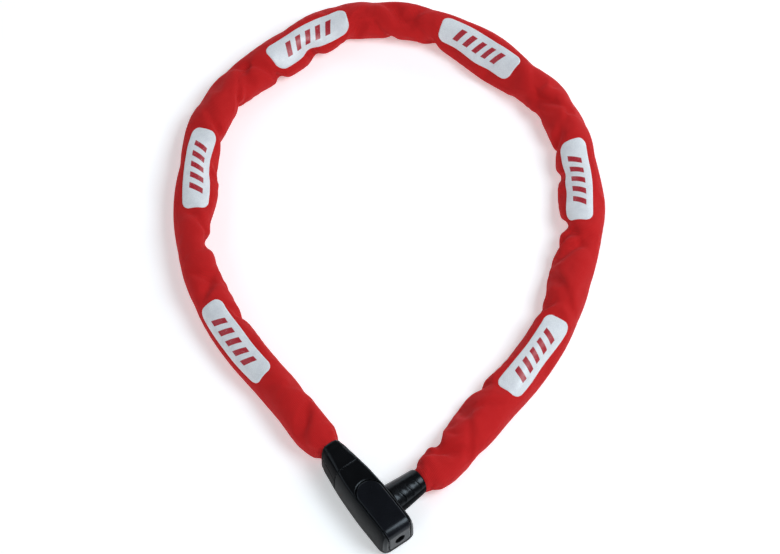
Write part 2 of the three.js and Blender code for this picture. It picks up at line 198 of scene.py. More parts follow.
def red_fabric():
    """Ribbed weave with slightly wandering yarns, fuzz and cloudy fading."""
    n = surface("red_fabric", RED, 0.85, specular=0.08)
    n.put(n.shader, {
        "Sheen Weight": 0.09, "Sheen Roughness": 0.4, "Sheen Tint": (1.0, 0.42, 0.45, 1),
    })
    uv = n.add("SeparateXYZ", {0: n.coordinates("UV")})
    place = n.coordinates()
    drift = n.spread(n.noise(place, 130, 2), -0.35, 0.35)
    along = n.math("ADD", uv.outputs[0], drift)
    around = n.math("ADD", uv.outputs[1], n.spread(n.noise(place, 170, 2), -0.2, 0.2))
    rib = n.math("ABSOLUTE", n.math("SINE", n.math("MULTIPLY", along, pi / RIB)))
    half_turn = n.math("MULTIPLY", n.math("FLOOR", n.math("DIVIDE", along, RIB)), pi / 2)
    yarn = n.math("SINE", n.math("ADD", n.math("MULTIPLY", around, pi / WARP), half_turn))
    yarn = n.math("MULTIPLY", yarn, yarn)
    weave = n.math("MULTIPLY_ADD", yarn, 0.45, n.math("MULTIPLY", rib, 0.7))
    fuzz = n.noise(place, 2600, 2)
    cloud = n.noise(place, 26, 3)
    tone = n.spread(weave, 0.0, 1.0, 0.1, 1.1)
    colour = n.mix(tone, scaled(RED, 0.7), scaled(RED, 1.1))
    colour = n.mix(n.spread(cloud, 0, 0.3), colour, (0.64, 0.018, 0.02))
    colour = n.mix(n.spread(fuzz, 0, 0.14, 0.5, 0.75), colour, (0.6, 0.05, 0.055))
    height = n.math("MULTIPLY_ADD", fuzz, 0.25, weave)
    gloss = n.spread(weave, 0.92, 0.76, 0, 1.1)
    return n.finish(
        Base_Color=colour,
        Roughness=n.math("ADD", gloss, n.spread(cloud, -0.02, 0.04)),
        Normal=n.bump(height, 0.00016, 0.9),
    )


BAR_SPACING = 8.4  # of the badge's slanted bars, in mm
BAR_HALF = 5.2  # half their length across the badge
BAR_COUNT = 5


def badge_print():
    """A plain reflective patch: a pale field of fine beads with slanted red bars."""
    n = surface("badge_print", (0.68, 0.72, 0.8), 0.35, specular=0.45)
    uv = n.add("SeparateXYZ", {0: n.coordinates("UV")})
    along, across = uv.outputs[0], uv.outputs[1]
    place = n.coordinates()
    slant = n.math("MULTIPLY_ADD", across, 0.38, along)
    wave = n.math("PINGPONG", n.math("ADD", slant, BAR_SPACING * 20.5), BAR_SPACING / 2)
    bar = n.math("GREATER_THAN", wave, BAR_SPACING / 4)
    inside = n.math("MULTIPLY", n.math("LESS_THAN", n.math("ABSOLUTE", across), BAR_HALF),
                    n.math("LESS_THAN", n.math("ABSOLUTE", slant), BAR_SPACING * BAR_COUNT / 2))
    cells = n.add("TexVoronoi", {"Vector": place, "Scale": 1500.0}).outputs["Distance"]
    cloud = n.noise(place, 160, 3)
    pale = n.mix(n.spread(cells, 0, 1, 0.1, 0.6), (0.84, 0.845, 0.86), (0.74, 0.745, 0.76))
    pale = n.mix(n.spread(cloud, 0, 0.25, 0.45, 0.7), pale, (0.5, 0.5, 0.55))
    scuff = n.spread(n.noise(place, 900, 3), 0, 0.5, 0.6, 0.75)
    red = n.mix(scuff, (0.42, 0.018, 0.03), (0.6, 0.3, 0.34))
    return n.finish(
        Base_Color=n.mix(n.math("MULTIPLY", bar, inside), pale, red),
        Roughness=n.spread(cloud, 0.28, 0.45),
        Normal=n.bump(cells, 0.00005, 0.5),
    )


SHELL_BLACK = (0.0032, 0.0033, 0.0038)
INLAY_BLACK = (0.0056, 0.0061, 0.0082)
# name, colour, roughness, specular level, grain scale, grain height in metres
shell_plastic = plastic("shell_plastic", SHELL_BLACK, 0.22, 0.21, 2600, 0.000005)
# Painted shade: the next two are copies of the shell plastic with weaker reflections, for faces that
# should read as shaded.
painted_shade_plastic = plastic("painted_shade_plastic", SHELL_BLACK, 0.36, 0.045, 2600, 0.000006)
deeper_shade_plastic = plastic("deeper_shade_plastic", SHELL_BLACK, 0.36, 0.016, 2600, 0.000006)
inlay_plastic = plastic("inlay_plastic", INLAY_BLACK, 0.24, 0.25, 3400, 0.000007)
collar_plastic = plastic("collar_plastic", SHELL_BLACK, 0.26, 0.26, 2600, 0.000005)
fabric = red_fabric()
badge = badge_print()
METALS = [  # name, colour, roughness, brushing, patina's colour, patina's share
    ("hard_steel", (0.27, 0.28, 0.30), 0.38, (900, 900, 60), (0.09, 0.085, 0.08), 0.35),
    ("cast_zinc", (0.32, 0.33, 0.34), 0.5, (700, 700, 700), (0.2, 0.2, 0.21), 0.5),
    ("brass", (0.48, 0.32, 0.10), 0.33, (900, 60, 900), (0.2, 0.12, 0.04), 0.3),
    ("spring_steel", (0.38, 0.39, 0.41), 0.28, (1200, 1200, 90), (0.2, 0.2, 0.2), 0.2),
]
CAD_MATERIALS = {values[0]: metal(*values) for values in METALS}
for part in frame["record"]["subparts"]:
    node = frame["nodes"].get(part["node"])
    finish = CAD_MATERIALS.get(part["material_slot"])
    if node and finish:
        for holder in node.material_slots:
            holder.material = finish


# ---- Mesh helpers ----
def grid_faces(rows, columns, closed):
    """Four-sided faces over a grid of points, row by row, joined round if it is closed."""
    across = np.arange(columns if closed else columns - 1)
    i, k = np.meshgrid(np.arange(rows - 1), across, indexing="ij")
    n = (k + 1) % columns
    here, ahead = i * columns, (i + 1) * columns
    return np.stack([here + k, here + n, ahead + n, ahead + k], -1)


def grid_normals(grid):
    """Unit normals of a grid of points whose rows close round."""
    around = np.roll(grid, -1, 1) - np.roll(grid, 1, 1)
    normal = np.cross(around, np.gradient(grid, axis=0))
    return normal / np.maximum(np.linalg.norm(normal, axis=-1, keepdims=True), 1e-12)


def make(name, grid, materials, sharp=None, closed=True, faces=None):
    """A smooth-shaded object over a grid of points; edges over `sharp` degrees stay sharp."""
    mesh = bpy.data.meshes.new(name)
    if faces is None:
        faces = grid_faces(*np.shape(grid)[:2], closed)
    points, faces = np.reshape(grid, (-1, 3)), np.reshape(faces, (-1, 4))
    mesh.from_pydata(points.tolist(), [], faces.tolist())
    obj = bpy.data.objects.new(name, mesh)
    bpy.context.scene.collection.objects.link(obj)
    for material in materials:
        mesh.materials.append(material)
    mesh.shade_smooth()
    if sharp:
        sharpen(obj, sharp)
    return obj


def sharpen(obj, degrees):
    bpy.context.view_layer.objects.active = obj
    obj.select_set(True)
    bpy.ops.object.shade_smooth_by_angle(angle=radians(degrees))
    obj.select_set(False)


def use_second(obj, chosen):
    """Gives the second material to the faces chosen by their centre and normal."""
    for polygon in obj.data.polygons:
        if chosen(polygon.center / MM, polygon.normal):
            polygon.material_index = 1


def set_uv(obj, points):
    """Lays out the UV map by the vertices' flat places, in mm."""
    index = np.zeros(len(obj.data.loops), int)
    obj.data.loops.foreach_get("vertex_index", index)
    layer = obj.data.uv_layers.new(name="UVMap")
    layer.data.foreach_set("uv", points(index).astype(np.float32).ravel())


def merged(obj, distance=1e-6):
    """Joins points that fall together, and turns the faces outwards."""
    work = bmesh.new()
    work.from_mesh(obj.data)
    bmesh.ops.remove_doubles(work, verts=work.verts, dist=distance)
    bmesh.ops.dissolve_degenerate(work, edges=work.edges, dist=distance)
    bmesh.ops.recalc_face_normals(work, faces=work.faces)
    work.to_mesh(obj.data)
    work.free()
    return obj


def all_round(sides):
    """Evenly spaced angles over one turn."""
    return np.arange(sides) * (2 * pi / sides)


def turn_from(theta, degrees):
    """Angles measured from another one, between minus and plus half a turn."""
    return np.angle(np.exp(1j * (theta - radians(degrees))))


def square(low, high):
    return [[(low, low, 0), (high, low, 0)], [(low, high, 0), (high, high, 0)]]


def unit(x):
    return np.clip(x, 0, 1)


def bell(x):
    return np.exp(-x ** 2)


def ease(x):
    """0 below 0, 1 above 1, and a smooth step between."""
    x = unit(x)
    return x * x * (3 - 2 * x)


def curve_through(points, at):
    """A smooth curve's height at some places, through given points."""
    p = np.array(points, float)
    slope = np.gradient(p[:, 1], p[:, 0])
    i = np.clip(np.searchsorted(p[:, 0], at) - 1, 0, len(p) - 2)
    width = p[i + 1, 0] - p[i, 0]
    t = unit((at - p[i, 0]) / width)
    return (
        (1 + 2 * t) * (1 - t) ** 2 * p[i, 1] + t * (1 - t) ** 2 * width * slope[i]
        + t * t * (3 - 2 * t) * p[i + 1, 1] + t * t * (t - 1) * width * slope[i + 1]
    )


# ---- Lock body ----
# Half widths of the body's top, in mm, at places along it.
TOP_EDGE = [(-24.6, 10.5), (-20.4, 10.6), (-10, 10.7), (2, 10.7), (14, 10.2), (24, 9.5),
            (32, 8.75), (40, 7.85), (46, 7.15), (51, 6.6)]
SWELL = 1.95  # how far the sides stand out beyond the top edge
SWELL_LOSS = 0.5  # how much less they do at the nose
EDGE_TURN = radians(64)  # how far the top edge's rounding turns before the side's curve
EDGE_R = 1.7  # rounding of the top's edge along the body
EDGE_R_NOSE = 2.1  # how much larger that rounding is at the nose
FOOT_R = 4.3
CROWN = 0.28  # how much lower the top is at its edge than along its middle
ROUND_Y = 6.2  # the keyhole end's rounding, along the body
ROUND_TOP = 5.4
ROUND_SIDE = 2.2
ROUND_FOOT = 3.2
NOSE_ROUND = 2.3


def droop(y):
    """How far the top falls towards the keyhole end, before its rounding."""
    return 0.4 * np.clip((-5 - y) / 13.4, 0, 1.3) ** 2


def section(y, inset_side, inset_top, inset_foot):
    """Rings round the body, from the top's middle clockwise as seen from the keyhole end."""
    y, side, top, foot = np.broadcast_arrays(y, inset_side, inset_top, inset_foot)
    edge = (curve_through(TOP_EDGE, y) - side)[:, None]
    softer = EDGE_R_NOSE * ease((y - 20) / 24) * (1 - 0.5 * np.minimum(side, 1.6))
    turn_r = (EDGE_R + softer)[:, None]
    swell = (SWELL - SWELL_LOSS * ease((y - 24) / 20))[:, None]
    wide = edge + swell * (1 - 0.25 * side[:, None] / ROUND_SIDE)
    high = (BODY_HEIGHT - top - droop(y))[:, None]
    low = foot[:, None]
    shoulder = high - CROWN - turn_r + turn_r * cos(EDGE_TURN)
    ankle = low + FOOT_R
    top_x = edge - turn_r + turn_r * sin(EDGE_TURN)
    t, over, down, under = (np.linspace(0, 1, n)[:-1] for n in (42, 13, 46, 15))
    over, under, back = over * EDGE_TURN, under * (pi / 2), np.linspace(1, 0, 12)
    x, z = (np.concatenate([v + 0 * edge for v in parts], 1) for parts in zip(
        (t * (edge - turn_r), high - CROWN * t ** 2),
        (edge - turn_r + turn_r * np.sin(over), high - CROWN - turn_r + turn_r * np.cos(over)),
        (top_x + (wide - top_x) * (1 - (1 - down) ** 4), shoulder + (ankle - shoulder) * down),
        (wide - FOOT_R + FOOT_R * np.cos(under), ankle - FOOT_R * np.sin(under)),
        (back * (wide - FOOT_R), low + 0 * back),
    ))
    x = np.concatenate([x, -x[:, -2:0:-1]], 1)
    z = np.concatenate([z, z[:, -2:0:-1]], 1)
    return np.stack([x, np.broadcast_to(y[:, None], x.shape), z], -1)


def keyhole_end():
    """Rings of the rounded end, from its flat face's rim towards the nose."""
    a = np.linspace(pi / 2, 0, 18)
    lift = 1 - np.cos(a)
    y = END_Y + ROUND_Y * (1 - np.sin(a))
    return section(y, ROUND_SIDE * lift, ROUND_TOP * lift, ROUND_FOOT * lift)


def towards_axis(ring, radius, steps):
    """Rings on a flat face, from a round hole about the cylinder's axis out to a ring."""
    out = ring - (0, ring[0, 1], AXIS_Z)
    hole = out / np.linalg.norm(out, axis=-1, keepdims=True) * radius
    t = np.linspace(0, 1, steps)[:-1, None, None]
    return (hole + (out - hole) * t) + (0, ring[0, 1], AXIS_Z)


def inset(ring, amount, y):
    """A ring pulled in towards the body's middle."""
    middle = np.array([0, 0, AXIS_Z])
    flat = ring * (1, 0, 1) - middle
    size = np.abs(flat).max(0)
    moved = flat * (1 - amount / np.maximum(size, 1))
    return moved + middle + (0, y, 0)


INLAY_HALF = 9.0
INLAY_END_HALF = 8.0
INLAY_ARCH_Y = 6.4
INLAY_LOW = 6.6
INLAY_CORNER = 2.2
INLAY_GAP = 0.45
INLAY_SEAT = 1.3  # how deep the shell is sunk under the inlay


def inlay_half(y):
    """The inlay's half width, narrower where it goes over the rounded end."""
    lift = 1 - np.sqrt(unit(1 - unit((END_Y + ROUND_Y - y) / ROUND_Y) ** 2))
    return INLAY_HALF - (INLAY_HALF - INLAY_END_HALF) * lift


def from_inlay(points):
    """Distance from the inlay's outline, negative inside it."""
    x, y, z = np.abs(points[..., 0]), points[..., 1], points[..., 2]
    side = x - inlay_half(y)
    arch = np.hypot(x, y - INLAY_ARCH_Y) - INLAY_HALF
    plan = np.where(y > INLAY_ARCH_Y, arch, side)
    low = INLAY_LOW - z
    corner = INLAY_CORNER
    rounded = np.hypot(np.clip(plan + corner, 0, None), np.clip(low + corner, 0, None)) - corner
    return np.where((plan > -corner) & (low > -corner), rounded, np.maximum(plan, low))


NOTCH_LINE = [(28, 14.2), (29.6, 15), (38, 17), (46.4, 17.2), (52, 16.2)]  # heights along Y
FACE_HOLE_R = 4.5  # the hole in the end face, behind the inlay
SEAM_INSET = 0.22  # the fine step inwards at the seam
SKIN = 1.7  # thickness of the shell's turned-in edge
# Faces on the sides and the foot take the painted-shade plastic; these two pick them.
SIDE_TURNED = 0.7  # a face whose normal's X is beyond this is on a side
FOOT_BELOW = 6.5  # faces below this height are the foot


def build_shell():
    end = keyhole_end()
    face = towards_axis(end[0], FACE_HOLE_R, 26)
    y = np.r_[np.arange(END_Y + ROUND_Y + 0.4, 17, 0.36), np.arange(17.5, SEAM_Y - 0.3, 0.7),
              SEAM_Y - 0.2, SEAM_Y]
    rings = np.vstack([face, end, section(y, 0.0, 0.0, 0.0)])
    normal = grid_normals(rings)
    gap = from_inlay(rings)
    sunk = INLAY_SEAT * (1 - ease((gap - INLAY_GAP) / 0.25 + 0.5))
    upward = unit(normal[..., 2] * 2 - 1)
    near_arch = ease((rings[..., 1] - 2) / 8)
    lip = 0.5 * near_arch * upward * bell((gap - 1.2) / 0.75)
    fade = 1 - ease((gap - 0.3) / (0.9 + 1.1 * near_arch))
    dish = (0.12 + 0.38 * near_arch) * upward * fade * (gap > 0)
    side_notch = left_notch(rings, normal)
    rings = rings - normal * (sunk + dish - lip * 0.3 + side_notch)[..., None]
    from_bolt = np.hypot(rings[..., 1], rings[..., 2] - AXIS_Z)
    seat = (rings[..., 0] > 0) * (1 - ease((from_bolt - SEAT_R) / 1.0))
    rings[..., 0] -= np.clip(rings[..., 0] - SEAT_X, 0, None) * seat
    last = rings[-1]
    rings[-1] = inset(last, SEAM_INSET, SEAM_Y)
    inner = [inset(last, SKIN, SEAM_Y - 0.1), inset(last, SKIN + 0.2, SEAM_Y - 5)]
    bore = [rings[0] + (0, 3.0, 0)]
    rings = np.vstack([bore, rings, inner])
    faces = grid_faces(len(rings), rings.shape[1], True)[:, ::-1][..., ::-1]
    obj = make("shell", rings * MM, [shell_plastic, painted_shade_plastic], faces=faces)
    # Painted shade: the sides and the foot reflect less, so they come out darker, as if they mirrored
    # shaded floor.
    use_second(obj, lambda centre, facing: centre.z < FOOT_BELOW or (
        abs(facing.x) > SIDE_TURNED and centre.y > END_Y + ROUND_SIDE))
    return merged(obj)


def left_notch(points, normal):
    """The moulded line that runs down the body's left side from the seam and on along the nose."""
    on_left = unit(-normal[..., 0] * 2 - 0.6)
    y, z = points[..., 1], points[..., 2]
    line = np.interp(y, [p[0] for p in NOTCH_LINE], [p[1] for p in NOTCH_LINE])
    along = bell((z - line) / 0.28) * (y > 29.4) * (y < 50.6)
    return 0.4 * on_left * along


MOUTH = (4.7, 11.0)  # half width and half height of the nose's opening
MOUTH_Q = 5.0  # how square it is, for the upright link that passes through it


def build_nose():
    start = SEAM_Y + SEAM_GAP
    y = np.r_[start, start + 0.2, np.arange(start + 0.6, NOSE_Y - NOSE_ROUND, 0.45)]
    a = np.linspace(0, pi / 2, 12)
    tip_y = NOSE_Y - NOSE_ROUND * (1 - np.sin(a))
    lift = NOSE_ROUND * (1 - np.cos(a))
    bevel = 0.7 * ease((y - 43.6) / 5)
    body = section(y, 0.43 * bevel, bevel, 0.86 * bevel)
    tip = section(tip_y, 0.3 + 0.55 * lift, 0.7 + 0.6 * lift, 0.6 + lift)
    rings = np.vstack([body, tip])
    rings[..., 1] -= 0.45 * (rings[..., 0] / 6) ** 2 * ease((rings[..., 1] - 45) / 5)
    normal = grid_normals(rings)
    rings = rings - normal * left_notch(rings, normal)[..., None]
    # a shallow bevel starts across the top a little before the tip
    line = bell((rings[..., 1] - 44.3) / 0.3) * unit(normal[..., 2] * 3 - 2)
    rings[..., 2] -= 0.1 * line
    first = rings[0].copy()
    rings[0] = inset(first, SEAM_INSET, start)
    back = [inset(first, SKIN + 0.2, start + 5), inset(first, SKIN, start + 0.1)]
    rim = rings[-1]
    out = rim - (0, rim[0, 1], AXIS_Z)
    angle = np.arctan2(out[:, 2], out[:, 0])
    across, up = np.abs(np.cos(angle) / MOUTH[0]), np.abs(np.sin(angle) / MOUTH[1])
    reach = (across ** MOUTH_Q + up ** MOUTH_Q) ** (-1 / MOUTH_Q)
    mouth = np.stack([reach * np.cos(angle), 0 * angle, reach * np.sin(angle)], -1)
    mouth += (0, NOSE_Y, AXIS_Z)
    inner = [rim + (mouth - rim) * 0.5, mouth - (0, 0.05, 0),
             mouth - (0, 0.5, 0) + 0.03 * (mouth - rim), mouth - (0, 6, 0)]
    rings = np.vstack([back, rings, inner])
    obj = make("nose", rings * MM, [shell_plastic, deeper_shade_plastic])
    # Painted shade: the nose's sides and foot reflect least, so they come out darker, as if shaded.
    use_second(obj, lambda centre, facing: abs(facing.x) > SIDE_TURNED or centre.z < FOOT_BELOW)
    return merged(obj)


INLAY_PROUD = 0.3  # above the body
INLAY_DEPTH = 0.9  # below it
INLAY_RIM = 0.85  # the rim's rounding


def on_body(x, p):
    """The body's surface under the inlay: x across, p along the middle towards the keyhole.

    p is minus y on the top, then goes round the end and down the face."""
    start = -(END_Y + ROUND_Y)
    quarter = pi / 2
    arc = quarter * (ROUND_Y + ROUND_TOP) / 2
    turn = unit((p - start) / arc) * quarter
    lift = 1 - np.cos(turn)
    y = np.where(p < start, -p, END_Y + ROUND_Y * (1 - np.sin(turn)))
    down = np.clip(p - start - arc, 0, None)
    edge = curve_through(TOP_EDGE, y) - ROUND_SIDE * lift
    t = np.abs(x) / (edge - EDGE_R)
    past = np.clip(np.abs(x) - (edge - EDGE_R), 0, EDGE_R * 0.999)
    drop = CROWN * np.minimum(t, 1) ** 2 + EDGE_R - np.sqrt(EDGE_R ** 2 - past ** 2)
    z = BODY_HEIGHT - droop(y) - ROUND_TOP * lift - drop * unit(1 - down / 2) - down
    return np.stack([x, y, z], -1)


def build_inlay():
    start = -(END_Y + ROUND_Y)
    arc = pi / 4 * (ROUND_Y + ROUND_TOP)
    p_low = start + arc + BODY_HEIGHT - ROUND_TOP - INLAY_LOW
    p_arch = -INLAY_ARCH_Y
    corner = INLAY_CORNER
    half = INLAY_END_HALF
    a = np.linspace(-pi / 2, pi / 2, 90)
    arch = np.stack([INLAY_HALF * np.sin(a), p_arch - INLAY_HALF * np.cos(a)], -1)
    p = np.linspace(p_arch, p_low - corner, 130)[1:]
    side = inlay_half(on_body(0 * p, p)[:, 1])
    right = np.stack([side, p], -1)
    b = np.linspace(0, pi / 2, 10)[1:]
    turn = np.stack([half - corner + corner * np.cos(b), p_low - corner + corner * np.sin(b)], -1)
    bottom = np.stack([np.linspace(half - corner, 0, 14)[1:], np.full(13, p_low)], -1)
    right = np.vstack([right, turn, bottom])
    left = right[-2::-1] * (-1, 1)
    loop = np.vstack([arch, right, left])
    middle = np.stack([0 * loop[:, 0], np.clip(loop[:, 1], p_arch, p_low - half)], -1)
    inward = middle - loop
    reach = np.linalg.norm(inward, axis=-1)
    rows = [loop + inward * t for t in np.linspace(1, 0, 8)]
    heights = [-INLAY_DEPTH] * len(rows)
    r = INLAY_RIM
    for depth, height in [(0.0, -r), (0.13 * r, -0.5 * r), (0.5 * r, -0.13 * r), (r, 0.0)]:
        rows.append(loop + inward * (depth / reach)[:, None])
        heights.append(INLAY_PROUD + height)
    top = rows[-1]
    rows = np.array(rows + [top + (middle - top) * t for t in np.linspace(0, 1, 16)[1:]])
    heights = np.r_[heights, np.full(15, INLAY_PROUD)][:, None, None]
    x, p = rows[..., 0], rows[..., 1]
    step = 0.05
    across = on_body(x + step, p) - on_body(x - step, p)
    along = on_body(x, p + step) - on_body(x, p - step)
    normal = np.cross(along, across)
    normal /= np.linalg.norm(normal, axis=-1, keepdims=True)
    points = on_body(x, p) + normal * heights
    obj = merged(make("inlay", points * MM, [inlay_plastic]), 2e-6)
    cut_hole(obj)
    return obj


KEYHOLE_R = 3.75


def turned(name, profile, material, sides=72):
    """A closed profile of (place along Y, radius) in mm, turned about the cylinder's axis."""
    profile = np.array(profile, float)
    a = all_round(sides)
    d, r = profile[:, 0][:, None] + 0 * a, profile[:, 1][:, None]
    c, s = r * np.cos(a), r * np.sin(a)
    grid = np.stack([c, d, s], -1) + (0, 0, AXIS_Z)
    return make(name, grid * MM, [material], 40)


def cut_hole(obj):
    """Cuts the round keyhole through the inlay."""
    near, far, centre_r = END_Y - 5.4, END_Y + 6.6, 0.01
    profile = [(near, centre_r), (near, KEYHOLE_R), (far, KEYHOLE_R), (far, centre_r)]
    cutter = turned("cutter", profile, inlay_plastic)
    merged(cutter, 2 * centre_r * MM)
    cut = obj.modifiers.new("keyhole", "BOOLEAN")
    cut.object = cutter
    cut.operation = "DIFFERENCE"
    cut.solver = "EXACT"
    evaluated = obj.evaluated_get(bpy.context.evaluated_depsgraph_get())
    result = bpy.data.meshes.new_from_object(evaluated)
    obj.modifiers.clear()
    obj.data = result
    bpy.data.objects.remove(cutter)
    sharpen(obj, 35)


def build_keyhole_rim():
    """The bevelled ring set in the keyhole, in front of the cylinder."""
    y = END_Y - INLAY_PROUD
    profile = [(y + 4.0, 3.72), (y + 0.35, 3.72), (y + 0.02, 3.66), (y - 0.04, 3.58),
               (y + 0.04, 3.48), (y + 0.7, 3.36), (y + 4.0, 3.34), (y + 4.0, 3.72)]
    # Painted shade: the ring reflects little, so the keyhole reads darker.
    return turned("keyhole_rim", profile, painted_shade_plastic)


# ---- Collar ----
COLLAR_ROOT = 11.45
COLLAR_TIP = 33.6
ROOT_R, TIP_R = 10.6, 8.3  # outside
ROOT_ROUND, TIP_ROUND = 0.35, 1.2
BOLT_HOLE_R = 5.4
SLEEVE_BORE_R = 7.0  # room at the tip for the end of the sleeve
SLEEVE_BORE = 7  # its depth
SEAT_X = 11.2  # the flat on the body's side that the collar closes against
SEAT_R = 10.8
GROOVES = [(16.5, 1.0), (22.6, 0.9), (28.7, 0.65)]  # place along X, share of the full depth
GROOVE_DEPTH = 0.45


def build_collar():
    sides = 120
    length = COLLAR_TIP - COLLAR_ROOT
    x = np.r_[
        COLLAR_ROOT, COLLAR_ROOT,
        COLLAR_ROOT + ROOT_ROUND * (1 - np.cos(np.linspace(0, pi / 2, 6)[1:])),
        np.arange(COLLAR_ROOT + 0.95, COLLAR_TIP - 1.3, 0.24),
        COLLAR_TIP - TIP_ROUND + TIP_ROUND * np.sin(np.linspace(0, pi / 2, 9)),
    ]
    a = all_round(sides)  # 0 is up, a quarter turn is -Y
    out = unit((x - COLLAR_ROOT) / length)
    taper = ROOT_R - (ROOT_R - TIP_R) * out
    into_root = unit(1 - (x - COLLAR_ROOT) / ROOT_ROUND)
    into_tip = unit((x - COLLAR_TIP + TIP_ROUND) / TIP_ROUND)
    root = np.sqrt(unit(1 - into_root ** 2))
    tip = np.sqrt(unit(1 - into_tip ** 2))
    radius = (taper - ROOT_ROUND * (1 - root) - TIP_ROUND * (1 - tip))[:, None] + 0 * a
    radius[0] = BOLT_HOLE_R
    for place, share in GROOVES:
        # Each groove is a crescent, deepest towards -Y and up, that runs out round the collar.
        turn = turn_from(a, 24)
        fade = 1 - ease((np.abs(turn) - radians(12)) / radians(30))
        lean = place + 2.8 * turn * fade
        u = x[:, None] - lean
        shape = bell(np.where(u < 0, u / 2.0, u / 0.3))
        rise = 0.12 * bell((u - 0.8) / 0.5)
        radius -= (GROOVE_DEPTH * shape - rise) * share * fade
    inside = np.array([
        (COLLAR_TIP, SLEEVE_BORE_R + 0.2), (COLLAR_TIP - 0.4, SLEEVE_BORE_R),
        (COLLAR_TIP - SLEEVE_BORE, SLEEVE_BORE_R), (COLLAR_TIP - SLEEVE_BORE, BOLT_HOLE_R),
        (COLLAR_ROOT, BOLT_HOLE_R),
    ])
    x_all = np.r_[x, inside[:, 0]]
    r_all = np.vstack([radius, inside[:, 1:] + 0 * a])
    # Towards its tip the collar bends a little to +Y and up, and the tip is cut off at a slant.
    out = unit((x_all - COLLAR_ROOT) / length)[:, None]
    slant = 1.0 * out ** 2 * np.cos(a - radians(30))
    grid = np.stack([x_all[:, None] + slant, 0.8 * out ** 1.5 - r_all * np.sin(a),
                     0.5 * out ** 1.5 + r_all * np.cos(a)], -1) + (0, 0, AXIS_Z)
    obj = make("collar_grip", grid * MM, [collar_plastic, deeper_shade_plastic], 60)
    # Painted shade: the faces turned down reflect least, so they come out darker, as if shaded.
    use_second(obj, lambda centre, facing: facing.z < 0.45)
    return merged(obj)


for piece, name, slot_name, *nodes in [
    (build_shell(), "lock_body", "shell_plastic", "main_shell"),
    (build_nose(), "lock_body", "shell_plastic", "nose_cap"),
    (build_inlay(), "lock_body", "inlay_plastic", "face_inlay"),
    (build_keyhole_rim(), "lock_body", "shell_plastic"),
    (build_collar(), "chain_6", "collar_plastic", "collar"),
]:
    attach(piece, name)
    if nodes:
        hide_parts(*nodes)


# ---- Fabric sleeve ----
def dense_route(per_span=80):
    """The CAD's centripetal Catmull-Rom curve through the route, as closely spaced points."""
    p = np.array(ROUTE, float)
    p = np.vstack([2 * p[0] - p[1], p, 2 * p[-1] - p[-2]])
    out = []
    for i in range(1, len(p) - 2):
        knots = np.cumsum([0, *np.linalg.norm(np.diff(p[i - 1:i + 3], axis=0), axis=1) ** 0.5])
        t0, t1, t2, t3 = knots
        t = np.linspace(t1, t2, per_span, endpoint=False)[:, None]

        def between(a, b, u, v):
            return (v - t) / (v - u) * a + (t - u) / (v - u) * b
        a1, a2, a3 = (between(p[i - 1 + k], p[i + k], *knots[k:k + 2]) for k in range(3))
        out.append(between(between(a1, a2, t0, t2), between(a2, a3, t1, t3), t1, t2))
    inside_collar = p[-2] + (-4, 0)
    return np.vstack([*out, p[-2:-1], inside_collar])


PATH = dense_route()
PATH_S = np.r_[0, np.cumsum(np.linalg.norm(np.diff(PATH, axis=0), axis=1))]
SLEEVE_START = 17.2  # just inside the nose
SLEEVE_END = PATH_S[-1]  # inside the collar's mouth


def along_route(s, reach=8.0):
    """Places on the route and the directions to its outer side, smoothed over a short stretch."""
    def at(v):
        v = np.clip(v, 0, PATH_S[-1])
        return np.stack([np.interp(v, PATH_S, PATH[:, k]) for k in (0, 1)], -1)
    ahead = at(s + reach) - at(s - reach)
    ahead /= np.linalg.norm(ahead, axis=-1, keepdims=True)
    return at(s), np.stack([-ahead[:, 1], ahead[:, 0]], -1)


# How far the fabric reaches from the chain's axis towards the loop's outside and towards its
# inside, in mm, at places along the chain.
OUTER = [
    (17, 4.1), (20, 4.8), (25, 9.5), (33, 12.6), (60, 12.6), (107, 12.6), (149, 12.8), (185, 11.6),
    (210, 12), (240, 12.2), (257, 11.6), (282, 12.6), (295, 17), (317, 18), (345, 17.2),
    (371, 15.6), (385, 15), (401, 17.2), (431, 18.4), (461, 16.3), (503, 14.4), (527, 15.4),
    (551, 15.4), (575, 18), (599, 18.8), (641, 13.6), (665, 15.6), (707, 13.2), (743, 14.8),
    (785, 14.4), (845, 14.4), (863, 13.6), (881, 11.4), (899, 9.8), (909, 5.8),
]
INNER = [
    (17, 4.1), (20, 4.7), (25, 7.4), (36, 9.2), (60, 10.6), (90, 12), (160, 13), (185, 11.4),
    (205, 9.6), (240, 15.8), (270, 13), (290, 10.8), (315, 10.8), (335, 11.2), (370, 17),
    (400, 14.2), (430, 10.2), (455, 11.2), (480, 10.2), (500, 11.8), (525, 16), (560, 12.4),
    (585, 11), (615, 11.4), (665, 15), (690, 13.6), (720, 15.8), (760, 10.8), (800, 12.8),
    (850, 19), (875, 15), (890, 16), (900, 13.4), (909, 7.2),
]
